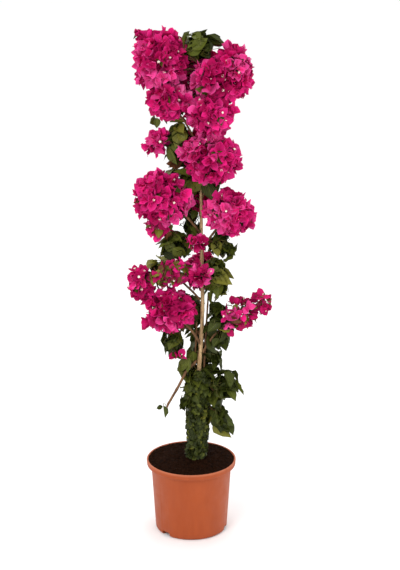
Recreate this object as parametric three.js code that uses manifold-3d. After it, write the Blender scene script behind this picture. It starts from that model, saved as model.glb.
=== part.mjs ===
// A bougainvillea trained up into a slim column, in the round nursery pot it is sold in.
// Millimetres, +Z up. The origin is the centre of the pot's flat underside; -Y is the front, +X its right.
import * as THREE from "three";
import { mergeVertices } from "three/addons/utils/BufferGeometryUtils.js";
import Module from "manifold-3d";

const wasm = await Module();
wasm.setup();

// ---------------------------------------------------------------- driving dimensions
const GAP = 1.5; // how far a solid is cut back from its neighbour
const EVEN = 0.6; // how far the surface of a mass may shift as its smallest faces are merged
const CHANNEL = { sides: 5, wider: 1.25 }; // what cuts a limb's channel: its flats still clear the limb

const ROUGHNESS = 0.09; // how uneven a mass is, as a share of its size
const SMALL = 35; // a lump smaller than this is drawn with fewer faces

const POT = {
  height: 156,
  rimRadius: 95,
  lipHeight: 13,
  rimWidth: 3.8,
  neckRadius: 85.2, // outside of the wall, just under the lip
  heelRadius: 76.4, // outside of the wall, where it turns in to the underside
  footRadius: 71.5, // the flat underside
  heelHeight: 7,
  wall: 2,
  floor: 3,
  sides: 30,
};

// Shallow drain notches bitten out of the heel, by bearing from the front towards +X.
const NOTCH = { bearings: [-45, 75, 195], width: 22, height: 10, depth: 12 };

const SOIL = { edgeBelowRim: 0.8, crown: 4, crownRadius: 34, clearance: 0.5 };
const GROUND = POT.height - SOIL.edgeBelowRim + SOIL.crown; // level of the soil round the stems

// Limbs: a path of places, the radius at each end, and how much the foot flares out.
const STEM = {
  path: [
    [10, 0, GROUND - 4], [12, 0, 220], [15, 0, 330], [24, 0, 470],
    [22, 0, 600], [20, 0, 760], [15, 0, 985],
  ],
  radii: [5.6, 1.6],
  flare: 5,
  flareHeight: 16,
  sides: 8,
  rings: 12,
};

const SIDE_STEMS = [
  {
    name: "stem_left",
    path: [[-1, 7, GROUND - 4], [3, 9, 240], [8, 10, 360], [12, 9, 455]], radii: [3.4, 2],
  },
  {
    name: "stem_right",
    path: [[21, 6, GROUND - 4], [23, 6, 250], [29, 6, 400], [36, 4, 520]], radii: [3.6, 1.8],
  },
];

// Each bough leaves the stem and ends where it enters the mass named by `into`.
const BOUGHS = [
  {
    name: "bough_crown_left", into: "bloom_crown_left_low",
    path: [[20, 0, 790], [2, -8, 850], [-44, -15, 918]], radii: [2.6, 1.7],
  },
  {
    name: "bough_crown_back", into: "bloom_back_crown",
    path: [[18, 0, 850], [10, 20, 900], [-8, 46, 965]], radii: [2.4, 1.6],
  },
  {
    name: "bough_shoulder", into: "bloom_shoulder",
    path: [[21, 0, 715], [32, -10, 745], [40, -24, 805]], radii: [2.7, 1.8],
  },
  {
    name: "bough_small_left", into: "bloom_small_left",
    path: [[20, 0, 765], [-14, -12, 806], [-62, -10, 832]], radii: [2.0, 1.3],
  },
  {
    name: "bough_back_upper", into: "bloom_back_upper",
    path: [[20, 0, 730], [16, 16, 760], [12, 38, 800]], radii: [2.6, 1.7],
  },
  {
    name: "bough_middle_left", into: "bloom_middle_left",
    path: [[21, 0, 640], [-4, -14, 678], [-59, -20, 725]], radii: [3.0, 2.0],
  },
  {
    name: "bough_middle_right", into: "bloom_middle_right",
    path: [[22, 0, 610], [44, -8, 645], [77, -15, 690]], radii: [3.0, 2.0],
  },
  {
    name: "bough_knob", into: "bloom_knob",
    path: [[23, 0, 500], [-26, 2, 546], [-100, -10, 545]], radii: [2.6, 1.6],
  },
  {
    name: "bough_lower_left", into: "bloom_lower_left",
    path: [[22, 0, 405], [4, -16, 440], [-40, -25, 490]], radii: [3.0, 2.0],
  },
  {
    name: "bough_back_lower", into: "foliage_back_lower",
    path: [[22, 0, 420], [10, 18, 440], [-10, 36, 470]], radii: [2.8, 1.8],
  },
  {
    name: "bough_spray", into: "bloom_spray",
    path: [[20, 0, 385], [48, -10, 432], [100, -15, 483]], radii: [2.8, 1.6],
  },
  {
    name: "bough_low_right", into: "foliage_right_low",
    path: [[14, 0, 250], [36, -8, 290], [72, -10, 325]], radii: [2.6, 1.6],
  },
  {
    name: "twig_low_left", into: "foliage_twig_tip",
    path: [[12, 0, 372], [-8, -12, 357], [-22, -16, 330], [-52, -13, 274]], radii: [3.3, 2.7], rings: 8,
  },
];

// Masses of bracts ("bloom_") and of leaves ("foliage_"), each by its centre, its whole width, depth
// and height, its lean about the line of sight in degrees, and the lobes that stand out of it, which
// are given in the same way. Earlier masses keep their shape, and later ones are cut back from them.
const MASSES = [
  {
    name: "bloom_crown_left", at: [-58, -10, 990], size: [98, 92, 108],
    lobes: [
      { at: [-101, -8, 1040], size: [14, 14, 26], lean: -24 },
      { at: [-84, -8, 1012], size: [50, 46, 66], lean: -8 },
      { at: [-50, -6, 1026], size: [62, 52, 44] },
      { at: [-86, -10, 968], size: [42, 40, 50] },
    ],
  },
  {
    name: "bloom_crown_right", at: [78, -12, 966], size: [82, 84, 108],
    lobes: [{ at: [36, -24, 960], size: [66, 58, 60] }],
  },
  { name: "bloom_crown_left_low", at: [-43, -15, 918], size: [78, 74, 78], lean: 30 },
  {
    name: "bloom_neck", at: [38, -20, 888], size: [80, 72, 80],
    lobes: [{ at: [73, -16, 900], size: [34, 28, 28] }],
  },
  {
    name: "bloom_shoulder", at: [44, -25, 802], size: [108, 86, 100],
    lobes: [{ at: [2, -30, 816], size: [42, 40, 48] }],
  },
  {
    name: "bloom_small_left", at: [-63, -10, 832], size: [44, 38, 54], lean: 20,
    lobes: [{ at: [-84, -8, 822], size: [18, 18, 22] }],
  },
  {
    name: "bloom_middle_left", at: [-57, -20, 722], size: [114, 92, 102], lean: 8,
    lobes: [{ at: [-22, -22, 716], size: [50, 50, 54] }],
  },
  {
    name: "bloom_middle_right", at: [74, -15, 692], size: [96, 84, 84], lean: 22,
    lobes: [{ at: [118, -12, 672], size: [30, 26, 26] }],
  },
  {
    name: "bloom_lower_left", at: [-38, -25, 490], size: [98, 80, 80], lean: 6,
    lobes: [
      { at: [-78, -22, 462], size: [34, 30, 26] },
      { at: [-76, -20, 514], size: [44, 36, 40] },
    ],
  },
  { name: "bloom_knob", at: [-101, -10, 543], size: [50, 46, 70], lean: -12 },
  { name: "bloom_left_tuft", at: [-62, -15, 656], size: [60, 36, 36], lean: 24 },
  { name: "bloom_centre_tuft", at: [15, -32, 632], size: [42, 26, 30] },
  {
    name: "bloom_band_left", at: [-34, -32, 572], size: [66, 36, 54], lean: -20,
    lobes: [{ at: [-64, -26, 560], size: [44, 30, 42] }],
  },
  { name: "bloom_band_centre", at: [19, -35, 567], size: [48, 34, 42] },
  {
    name: "bloom_spray", at: [98, -15, 480], size: [70, 56, 66], lean: -24,
    lobes: [{ at: [70, -24, 452], size: [30, 26, 34] }],
  },
  { name: "bloom_spray_tip", at: [143, -10, 500], size: [44, 36, 48], lean: 30 },
  { name: "bloom_low_tuft", at: [-26, -15, 389], size: [34, 22, 22], lean: 20 },
  { name: "bloom_back_crown", at: [-8, 48, 968], size: [124, 80, 118] },
  { name: "bloom_back_neck", at: [32, 38, 882], size: [84, 66, 70] },
  { name: "bloom_back_upper", at: [14, 40, 802], size: [92, 74, 84] },
  { name: "bloom_back_middle", at: [-8, 40, 714], size: [104, 76, 78] },
  { name: "bloom_back_low", at: [24, 38, 556], size: [76, 56, 70] },
  {
    name: "foliage_crown", at: [14, 6, 1020], size: [66, 58, 58],
    lobes: [{ at: [50, 2, 1030], size: [20, 16, 34], lean: 12 }],
  },
  { name: "foliage_left_spur", at: [-66, -8, 874], size: [36, 20, 24], lean: -20 },
  { name: "foliage_upper", at: [-26, -6, 832], size: [46, 48, 112], lean: 10 },
  {
    name: "foliage_waist", at: [-16, -4, 756], size: [78, 62, 70],
    lobes: [{ at: [34, 4, 742], size: [56, 48, 50] }],
  },
  { name: "foliage_centre", at: [4, 4, 668], size: [36, 48, 92] },
  { name: "foliage_left", at: [-32, -6, 618], size: [62, 54, 60] },
  {
    name: "foliage_right_upper", at: [56, -2, 620], size: [50, 44, 58],
    lobes: [{ at: [80, -6, 612], size: [24, 18, 44] }],
  },
  { name: "foliage_left_fringe", at: [-64, -4, 572], size: [62, 44, 50], lean: -30 },
  { name: "foliage_right", at: [52, -8, 556], size: [48, 46, 100] },
  { name: "foliage_right_lower", at: [56, 0, 448], size: [60, 60, 104], lean: -6 },
  { name: "foliage_back_lower", at: [-10, 36, 470], size: [72, 58, 84] },
  { name: "foliage_left_leaf", at: [-38, -8, 416], size: [50, 34, 66] },
  {
    name: "foliage_low", at: [24, 20, 392], size: [64, 52, 96],
    lobes: [{ at: [50, 6, 372], size: [38, 34, 48] }, { at: [-5, -8, 362], size: [38, 36, 58] }],
  },
  { name: "foliage_back_foot", at: [18, 26, 322], size: [54, 42, 82] },
  { name: "foliage_right_low", at: [71, -10, 323], size: [66, 46, 66], lean: -20 },
  { name: "foliage_foot_left", at: [-11, -20, 287], size: [36, 24, 26], lean: 12 },
  {
    name: "foliage_foot_right", at: [61, -12, 242], size: [36, 24, 78], lean: -34,
    lobes: [{ at: [46, -6, 292], size: [34, 30, 50] }],
  },
  { name: "foliage_twig_tip", at: [-64, -12, 268], size: [32, 22, 26], lean: -10 },
];

// The close sleeve of small leaves round the foot of the stems: radius by height above the soil.
const SLEEVE = {
  name: "foliage_foot_sleeve",
  radii: [23, 24, 25, 26, 29, 30, 24],
  height: 192,
  sides: 10,
  lean: [11, 2], // how far its top stands off to +X and +Y
};

const COLOURS = {
  pot: { color: "#b25a36", roughness: 0.55 },
  soil: { color: "#1e0f08", roughness: 0.95 },
  bark: { color: "#a8875f", roughness: 0.85 },
  bloom: { color: "#b51c5e", roughness: 0.7 },
  foliage: { color: "#3d4a1e", roughness: 0.7 },
};

// ---------------------------------------------------------------- solids
// A closed three.js geometry as a manifold-3d solid.
function solidOf(geometry) {
  const bare = geometry.clone();
  bare.deleteAttribute("normal");
  bare.deleteAttribute("uv");
  const merged = mergeVertices(bare, 1e-3);
  return new wasm.Manifold(
    new wasm.Mesh({
      numProp: 3,
      vertProperties: merged.attributes.position.array,
      triVerts: new Uint32Array(merged.index.array),
    }),
  );
}

// The largest connected piece of a solid, so that a cut never leaves crumbs.
function largest(solid) {
  return solid.decompose().reduce((best, piece) => (piece.volume() > best.volume() ? piece : best));
}

function meshOf(name, solid, look) {
  const { vertProperties, triVerts } = solid.getMesh();
  const geometry = new THREE.BufferGeometry();
  geometry.setAttribute("position", new THREE.BufferAttribute(vertProperties, 3));
  geometry.setIndex(new THREE.BufferAttribute(triVerts, 1));
  const flat = geometry.toNonIndexed();
  flat.computeVertexNormals();
  const mesh = new THREE.Mesh(flat, new THREE.MeshStandardMaterial({ metalness: 0, ...look }));
  mesh.name = name;
  return mesh;
}

// A profile of [radius, height] points turned about the pot's axis.
function turned(profile) {
  const points = profile.map(([radius, height]) => new THREE.Vector2(radius, height));
  return solidOf(new THREE.LatheGeometry(points, POT.sides).rotateX(Math.PI / 2));
}

// Whether the boxes of two solids meet.
function near(a, b) {
  const p = a.boundingBox();
  const q = b.boundingBox();
  return [0, 1, 2].every((i) => p.min[i] < q.max[i] && q.min[i] < p.max[i]);
}

function cutBack(solid, cutters) {
  const touching = cutters.filter((cutter) => near(solid, cutter));
  const kept = touching.reduce((rest, cutter) => rest.subtract(cutter), solid);
  return largest(kept).asOriginal();
}

// ---------------------------------------------------------------- pot and soil
const LIP_FOOT = POT.height - POT.lipHeight;

// Radius of the pot's inner wall at a height, from the floor up to the foot of the lip.
function insideRadius(height) {
  const climb = (height - POT.floor) / (LIP_FOOT - 2 - POT.floor);
  return THREE.MathUtils.lerp(POT.heelRadius - 2 * POT.wall, POT.neckRadius - POT.wall, climb);
}

function makePot() {
  const body = turned([
    [0, 0],
    [POT.footRadius, 0],
    [POT.heelRadius, POT.heelHeight],
    [POT.neckRadius, LIP_FOOT],
    [POT.rimRadius - 0.8, LIP_FOOT + 2],
    [POT.rimRadius, POT.height - 4],
    [POT.rimRadius - 1.4, POT.height],
    [POT.rimRadius - POT.rimWidth, POT.height - 0.8],
    [POT.rimRadius - POT.rimWidth - 0.4, LIP_FOOT + 3],
    [insideRadius(LIP_FOOT - 2), LIP_FOOT - 2],
    [insideRadius(POT.floor), POT.floor],
    [0, POT.floor],
  ]);
  return NOTCH.bearings.reduce((pot, bearing) => pot.subtract(makeNotch(bearing)), body);
}

// A low arch bitten into the heel from outside, reaching in past the edge of the underside.
function makeNotch(bearing) {
  const arch = new THREE.Shape();
  const half = NOTCH.width / 2;
  arch.moveTo(-half, -1);
  arch.lineTo(half, -1);
  arch.lineTo(half - 2, NOTCH.height * 0.6);
  arch.quadraticCurveTo(half - 4, NOTCH.height, half - 8, NOTCH.height);
  arch.lineTo(8 - half, NOTCH.height);
  arch.quadraticCurveTo(4 - half, NOTCH.height, 2 - half, NOTCH.height * 0.6);
  arch.closePath();
  const depth = NOTCH.depth + 10;
  const bite = new THREE.ExtrudeGeometry(arch, { depth, bevelEnabled: false, curveSegments: 2 });
  bite.rotateX(Math.PI / 2);
  bite.translate(0, NOTCH.depth - POT.footRadius, 0);
  bite.rotateZ(THREE.MathUtils.degToRad(bearing));
  return solidOf(bite);
}

function makeSoil() {
  const floor = POT.floor + NOTCH.height + SOIL.clearance;
  return turned([
    [0, floor],
    [insideRadius(floor) - SOIL.clearance, floor],
    [insideRadius(LIP_FOOT - 2) - SOIL.clearance, LIP_FOOT - 2],
    [POT.rimRadius - POT.rimWidth - 1, LIP_FOOT + 4.6],
    [POT.rimRadius - POT.rimWidth - 0.7, POT.height - SOIL.edgeBelowRim],
    [SOIL.crownRadius, GROUND],
    [0, GROUND],
  ]);
}

// ---------------------------------------------------------------- limbs
// A tapering limb along a smooth path: a cylinder whose rings are set square to the path.
function limb({ path, radii, flare = 0, flareHeight = 1, sides = 6, rings = 5 }, grow = 0) {
  const curve = new THREE.CatmullRomCurve3(path.map((place) => new THREE.Vector3(...place)));
  const frames = curve.computeFrenetFrames(rings);
  const length = curve.getLength();
  const geometry = new THREE.CylinderGeometry(1, 1, 1, sides, rings);
  const places = geometry.attributes.position;
  const vertex = new THREE.Vector3();
  for (let i = 0; i < places.count; i += 1) {
    vertex.fromBufferAttribute(places, i);
    const along = 0.5 - vertex.y;
    const ring = Math.round(along * rings);
    const swell = flare * Math.exp((-along * length) / flareHeight);
    const radius = THREE.MathUtils.lerp(radii[0], radii[1], along) + swell + grow;
    const moved = curve.getPointAt(along)
      .addScaledVector(frames.normals[ring], vertex.x * radius)
      .addScaledVector(frames.binormals[ring], vertex.z * radius);
    places.setXYZ(i, moved.x, moved.y, moved.z);
  }
  const solid = solidOf(geometry);
  return solid.volume() < 0 ? solidOf(insideOut(geometry)) : solid;
}

function insideOut(geometry) {
  const turnedRound = geometry.clone();
  turnedRound.setIndex(Array.from(geometry.index.array).reverse());
  return turnedRound;
}

// ---------------------------------------------------------------- masses
// Bumps over a ball: three waves, whose directions follow from the mass's number.
function bump(direction, seed) {
  let sum = 0;
  for (let wave = 1; wave <= 3; wave += 1) {
    const turn = seed * 2.4 + wave * 1.7;
    const along = new THREE.Vector3(Math.sin(turn), Math.cos(turn * 1.3), Math.sin(turn * 0.7 + 1));
    sum += Math.sin((2.2 + 1.3 * wave) * direction.dot(along.normalize()) + turn) / (wave + 1);
  }
  return sum;
}

// One uneven ball, `size` across, leaning about the line of sight.
function lump({ at, size, lean = 0 }, seed, grow) {
  const geometry = new THREE.IcosahedronGeometry(1, Math.max(...size) < SMALL ? 0 : 1);
  const places = geometry.attributes.position;
  const direction = new THREE.Vector3();
  const spin = new THREE.Matrix4().makeRotationY(THREE.MathUtils.degToRad(lean));
  for (let i = 0; i < places.count; i += 1) {
    direction.fromBufferAttribute(places, i).normalize();
    const reach = 1 + ROUGHNESS * bump(direction, seed);
    const [x, y, z] = direction.toArray().map((part, axis) => part * (size[axis] / 2 + grow) * reach);
    places.setXYZ(i, x, y, z);
  }
  geometry.applyMatrix4(spin);
  geometry.translate(...at);
  return solidOf(geometry);
}

function mass(row, seed, grow = 0) {
  const { lobes = [] } = row;
  const lobeSeed = (n) => seed + 0.37 * (n + 1);
  const main = lump(row, seed, grow);
  return lobes.reduce((joined, lobe, n) => joined.add(lump(lobe, lobeSeed(n), grow)), main);
}

// The sleeve: rings of uneven radius round the stems, flat at the soil and drawn in at the top.
function sleeve(grow = 0) {
  const { radii, height, sides, lean } = SLEEVE;
  const foot = new THREE.Vector3(STEM.path[0][0], STEM.path[0][1], GROUND);
  const rings = radii.length - 1;
  const geometry = new THREE.CylinderGeometry(1, 1, 1, sides, rings);
  geometry.rotateX(Math.PI / 2);
  const places = geometry.attributes.position;
  const vertex = new THREE.Vector3();
  for (let i = 0; i < places.count; i += 1) {
    vertex.fromBufferAttribute(places, i);
    const along = vertex.z + 0.5;
    const bearing = Math.atan2(vertex.y, vertex.x);
    const waves = 1 + 0.06 * Math.sin(3 * bearing + 9 * along) + 0.05 * Math.cos(2 * bearing - 14 * along);
    const radius = (radii[Math.round(along * rings)] + grow) * waves;
    places.setXYZ(
      i,
      foot.x + lean[0] * along + vertex.x * radius,
      foot.y + lean[1] * along + vertex.y * radius,
      foot.z + GAP - grow + along * (height + 2 * grow),
    );
  }
  return solidOf(geometry);
}

// ---------------------------------------------------------------- assembly
const plant = new THREE.Group();

function put(name, solid, look) {
  plant.add(meshOf(name, solid, look));
}

put("pot", makePot(), COLOURS.pot);
put("soil", makeSoil(), COLOURS.soil);

// What cuts a channel for a limb: fewer sides, so wider by as much as their flats fall short.
function cutterFor(row) {
  const radii = row.radii.map((radius) => radius * CHANNEL.wider);
  return limb({ ...row, sides: CHANNEL.sides, radii }, GAP);
}

const aboveGround = (solid) => solid.trimByPlane([0, 0, 1], GROUND + GAP);
const grownStem = cutterFor(STEM);
put("stem", aboveGround(limb(STEM)), COLOURS.bark);

const limbs = [...SIDE_STEMS, ...BOUGHS];
const grownLimbs = [];
for (const row of limbs) {
  const goal = MASSES.find((target) => target.name === row.into);
  const end = goal ? [mass(goal, MASSES.indexOf(goal), GAP)] : [];
  const blocks = [grownStem, ...grownLimbs.map((other) => other.solid), ...end];
  put(row.name, cutBack(aboveGround(limb(row)), blocks), COLOURS.bark);
  grownLimbs.push({ into: row.into, solid: cutterFor(row) });
}

const grownMasses = [sleeve(GAP)];
const throughSleeve = [grownStem, ...grownLimbs.map((other) => other.solid)];
put(SLEEVE.name, cutBack(sleeve(), throughSleeve).simplify(EVEN), COLOURS.foliage);
MASSES.forEach((row, seed) => {
  const passing = grownLimbs.filter((other) => other.into !== row.name).map((other) => other.solid);
  const solid = cutBack(mass(row, seed), [grownStem, ...passing, ...grownMasses]).simplify(EVEN);
  put(row.name, solid, row.name.startsWith("bloom") ? COLOURS.bloom : COLOURS.foliage);
  grownMasses.push(mass(row, seed, GAP));
});

export default plant;
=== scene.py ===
"""A bougainvillea trained up into a slim column, in the round nursery pot it is sold in.

Metres, +Z up. The solids of the frame say where each stem, bough and mass of flowers or leaves is. The
twigs, leaves, bracts and flowers grow inside them from the stems by one seeded branching rule.
"""

import math

import bmesh
import bpy
import numpy as np
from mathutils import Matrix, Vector
from mathutils.bvhtree import BVHTree


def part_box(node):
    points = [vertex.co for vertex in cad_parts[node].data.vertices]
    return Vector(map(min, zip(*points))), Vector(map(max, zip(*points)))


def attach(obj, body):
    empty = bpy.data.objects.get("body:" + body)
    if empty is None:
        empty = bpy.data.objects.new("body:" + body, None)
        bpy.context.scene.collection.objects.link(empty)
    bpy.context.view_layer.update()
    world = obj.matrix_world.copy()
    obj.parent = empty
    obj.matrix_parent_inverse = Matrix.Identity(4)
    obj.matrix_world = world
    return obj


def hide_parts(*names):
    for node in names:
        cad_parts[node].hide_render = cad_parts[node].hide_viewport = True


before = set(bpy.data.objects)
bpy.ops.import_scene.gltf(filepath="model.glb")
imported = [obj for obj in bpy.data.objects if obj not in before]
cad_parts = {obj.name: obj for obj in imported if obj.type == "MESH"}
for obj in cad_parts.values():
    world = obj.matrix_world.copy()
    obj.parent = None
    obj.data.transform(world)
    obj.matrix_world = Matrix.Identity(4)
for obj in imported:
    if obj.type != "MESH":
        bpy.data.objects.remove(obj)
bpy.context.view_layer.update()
SEED = 19
MM = 0.001
UP = np.array([0.0, 0.0, 1.0])
SAME_PLACE = 1e-6  # points closer than this are one point

NODES = sorted(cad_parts)
SLEEVE = "foliage_foot_sleeve"
BLOOMS = [name for name in NODES if name.startswith("bloom")]
FOLIAGE = [name for name in NODES if name.startswith("foliage") and name != SLEEVE]
LIMBS = [name for name in NODES if name.startswith(("stem", "bough", "twig"))]

# --- small helpers


def unit(vector):
    vector = np.asarray(vector, float)
    return vector / max(np.linalg.norm(vector), 1e-12)


def lengths(vectors):
    return np.linalg.norm(vectors, axis=-1)


def node_rng(node):
    """The random draws of one solid's own growth, the same in every run."""
    return np.random.default_rng([SEED, NODES.index(node)])


def start_fresh():
    """Object mode, with nothing selected."""
    if bpy.context.object and bpy.context.object.mode != "OBJECT":
        bpy.ops.object.mode_set(mode="OBJECT")
    bpy.ops.object.select_all(action="DESELECT")


def begin(name):
    """Takes the primitive just added, puts its place into its mesh and opens it for editing."""
    piece = bpy.context.active_object
    piece.name = piece.data.name = name
    bpy.ops.object.transform_apply(location=True, rotation=True, scale=True)
    bpy.ops.object.mode_set(mode="EDIT")
    return piece


def add_object(name, data):
    added = bpy.data.objects.new(name, data)
    bpy.context.scene.collection.objects.link(added)
    return added


def pick(piece, test):
    """Selects the vertices whose place passes the test."""
    shell = bmesh.from_edit_mesh(piece.data)
    for vertex in shell.verts:
        vertex.select_set(bool(test(vertex.co)))
    shell.select_flush(True)
    bmesh.update_edit_mesh(piece.data)


def pull_on(move, swell, centre):
    """Pulls the selected disc or ring on by a move and swells it about a place."""
    bpy.ops.mesh.extrude_region_move(TRANSFORM_OT_translate={"value": move})
    bpy.ops.transform.resize(value=swell, center_override=centre)


def finish_shape():
    """Closes the edit: doubles merged and faces outwards."""
    bpy.ops.mesh.select_all(action="SELECT")
    bpy.ops.mesh.remove_doubles(threshold=SAME_PLACE)
    bpy.ops.mesh.normals_make_consistent(inside=False)
    bpy.ops.object.mode_set(mode="OBJECT")


def smooth_up_to(degrees):
    bpy.ops.object.shade_smooth_by_angle(angle=math.radians(degrees))


def apply_modifier(piece, kind, **settings):
    modifier = piece.modifiers.new(kind.lower(), kind)
    for key, value in settings.items():
        setattr(modifier, key, value)
    bpy.context.view_layer.objects.active = piece
    bpy.ops.object.modifier_apply(modifier=modifier.name)


def cloud_texture(name, size):
    texture = bpy.data.textures.new(name, "CLOUDS")
    texture.noise_scale = size
    texture.noise_depth = 2
    return texture


def wear(piece, material, slot, *nodes):
    """Gives a finished piece its material and its body, and hides the solids it stands for; the slot is not
    used.
    """
    piece.data.materials.clear()
    piece.data.materials.append(material)
    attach(piece, "root")
    if nodes:
        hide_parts(*nodes)
    return piece


# --- reading the frame


def triangles(node):
    """The corners of a solid's triangles, as an array of shape (count, 3, 3)."""
    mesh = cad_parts[node].data
    mesh.calc_loop_triangles()
    places = np.empty(len(mesh.vertices) * 3)
    mesh.vertices.foreach_get("co", places)
    corners = np.empty(len(mesh.loop_triangles) * 3, int)
    mesh.loop_triangles.foreach_get("vertices", corners)
    return places.reshape(-1, 3)[corners].reshape(-1, 3, 3)


def centre_of(node):
    low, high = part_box(node)
    return np.array((low + high) / 2)


def limb_line(node, step):
    """Centres and radii along a limb, from its thick end, read by slicing its solid."""
    end_margin, fewest_slices = 0.4 * MM, 4
    corners = triangles(node)
    places = corners.reshape(-1, 3)
    middle = places.mean(0)
    axis = np.linalg.svd(places - middle, full_matrices=False)[2][0]
    along = (corners - middle) @ axis
    low, high = along.min(), along.max()
    count = max(fewest_slices, int((high - low) / step))
    centres, radii = [], []
    for level in np.linspace(low + end_margin, high - end_margin, count):
        hits = []
        for a, b in ((0, 1), (1, 2), (2, 0)):
            gap_a, gap_b = along[:, a] - level, along[:, b] - level
            cut = gap_a * gap_b < 0
            share = (gap_a[cut] / (gap_a[cut] - gap_b[cut]))[:, None]
            hits.append(corners[cut, a] * (1 - share) + corners[cut, b] * share)
        ring = np.concatenate(hits)
        centres.append((ring.min(0) + ring.max(0)) / 2)
        radii.append(lengths(ring - centres[-1]).mean())
    centres, radii = np.array(centres), np.array(radii)
    if radii[: count // 2].mean() < radii[count // 2 :].mean():
        centres, radii = centres[::-1], radii[::-1]
    return centres, radii


def shell(node, spacing, rng):
    """Spots spread over a mass about one spacing apart, with the directions they look out in."""
    tries_per_spot, closest = 14, 0.84  # closest is a share of the spacing
    corners = triangles(node)
    across = np.cross(corners[:, 1] - corners[:, 0], corners[:, 2] - corners[:, 0])
    area = lengths(across)
    tries = int(area.sum() / 2 / spacing**2 * tries_per_spot) + 6
    which = rng.choice(len(area), size=tries, p=area / area.sum())
    a, b = rng.random((2, tries))
    outside = a + b > 1
    a[outside], b[outside] = 1 - a[outside], 1 - b[outside]
    base = corners[which]
    spots = base[:, 0] + a[:, None] * (base[:, 1] - base[:, 0]) + b[:, None] * (base[:, 2] - base[:, 0])
    kept = []
    for i, spot in enumerate(spots):
        if not kept or lengths(spots[kept] - spot).min() > closest * spacing:
            kept.append(i)
    spots = spots[kept]
    facet = across[which[kept]] / area[which[kept]][:, None]
    radial = spots - centre_of(node)
    outward = facet + radial / lengths(radial)[:, None]
    return spots, outward / lengths(outward)[:, None]


def surface_tree(names):
    corners = np.concatenate([triangles(name) for name in names]).reshape(-1, 3)
    return BVHTree.FromPolygons(corners.tolist(), np.arange(len(corners)).reshape(-1, 3).tolist())


MASS_TREE = surface_tree(BLOOMS + FOLIAGE + [SLEEVE])
LIMB_TREE = surface_tree(LIMBS)


def exposed(spot, outward, reach=12 * MM):
    """Whether nothing else of the plant lies close outside this spot."""
    return MASS_TREE.ray_cast(Vector(spot + outward * 0.8 * MM), Vector(outward), reach)[0] is None


def cut_by_limb(points, reach=8 * MM):
    """Whether any of these points lies in a stem or bough."""
    for point in map(Vector, points):
        bark, outward, _, _ = LIMB_TREE.find_nearest(point, reach)
        if bark is not None and (point - bark).dot(outward) < 0:
            return True
    return False


# --- shader nodes


def feed(tree, socket, value):
    """Links a socket to another, or sets its plain value."""
    if isinstance(value, bpy.types.NodeSocket):
        tree.links.new(value, socket)
    else:
        socket.default_value = value


def add_node(tree, kind, settings=None, **inputs):
    """One shader node: settings are its own properties, inputs are values or sockets by name."""
    node = tree.nodes.new("ShaderNode" + kind)
    for key, value in (settings or {}).items():
        setattr(node, key, value)
    for key, value in inputs.items():
        place = int(key[1:]) if key[0] == "_" else key.replace("_", " ")
        feed(tree, node.inputs[place], value)
    return node


def new_group(name, inputs, outputs):
    """A node group with its sockets; returns the group and its input and output nodes."""
    group = bpy.data.node_groups.new(name, "ShaderNodeTree")
    kinds = {"colour": "NodeSocketColor", "number": "NodeSocketFloat", "vector": "NodeSocketVector"}
    for way, sockets in (("INPUT", inputs), ("OUTPUT", outputs)):
        for kind, labels in sockets.items():
            for label in labels:
                group.interface.new_socket(name=label, in_out=way, socket_type=kinds[kind])
    return group, group.nodes.new("NodeGroupInput"), group.nodes.new("NodeGroupOutput")


def mix(tree, factor, first, second):
    node = add_node(tree, "Mix", {"data_type": "RGBA"}, _0=factor, _6=first, _7=second)
    return node.outputs[2]


def maths(tree, operation, first, second=0.0, third=0.0, clamp=False):
    settings = {"operation": operation, "use_clamp": clamp}
    return add_node(tree, "Math", settings, _0=first, _1=second, _2=third).outputs[0]


def swing(tree, value, amount, base):
    """base, plus a value that runs about a half, times an amount."""
    return maths(tree, "MULTIPLY_ADD", maths(tree, "SUBTRACT", value, 0.5), amount, base)


def ramp(tree, value, low, high, start=0.0, end=1.0):
    limits = {"From_Min": low, "From_Max": high, "To_Min": start, "To_Max": end}
    return add_node(tree, "MapRange", {"clamp": True}, Value=value, **limits).outputs[0]


def vector_node(tree, operation, **inputs):
    return add_node(tree, "VectorMath", {"operation": operation}, **inputs).outputs[0]


def noise(tree, place, scale, detail=2.0):
    return add_node(tree, "TexNoise", {}, Vector=place, Scale=scale, Detail=detail).outputs[0]


def group_node(tree, group, **inputs):
    return add_node(tree, "Group", {"node_tree": group}, **inputs)


def own_map(tree):
    """The map that a leaf, bract, twig or crumb carries with it."""
    return add_node(tree, "UVMap", {"uv_map": BLADE_MAP}).outputs[0]


def object_place(tree):
    return add_node(tree, "TexCoord").outputs["Object"]


def srgb(red, green, blue):
    """A colour given in screen values from 0 to 255."""
    screen = np.array([red, green, blue]) / 255
    linear = np.where(screen <= 0.04045, screen / 12.92, ((screen + 0.055) / 1.055) ** 2.4)
    return (*linear.tolist(), 1.0)


TILES = 4  # blades share an atlas of TILES by TILES tiles, one tile to a blade
TILE_EDGE = 0.03  # the rim of a tile that no blade covers
BLADE_MAP = "OFBake"


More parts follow.
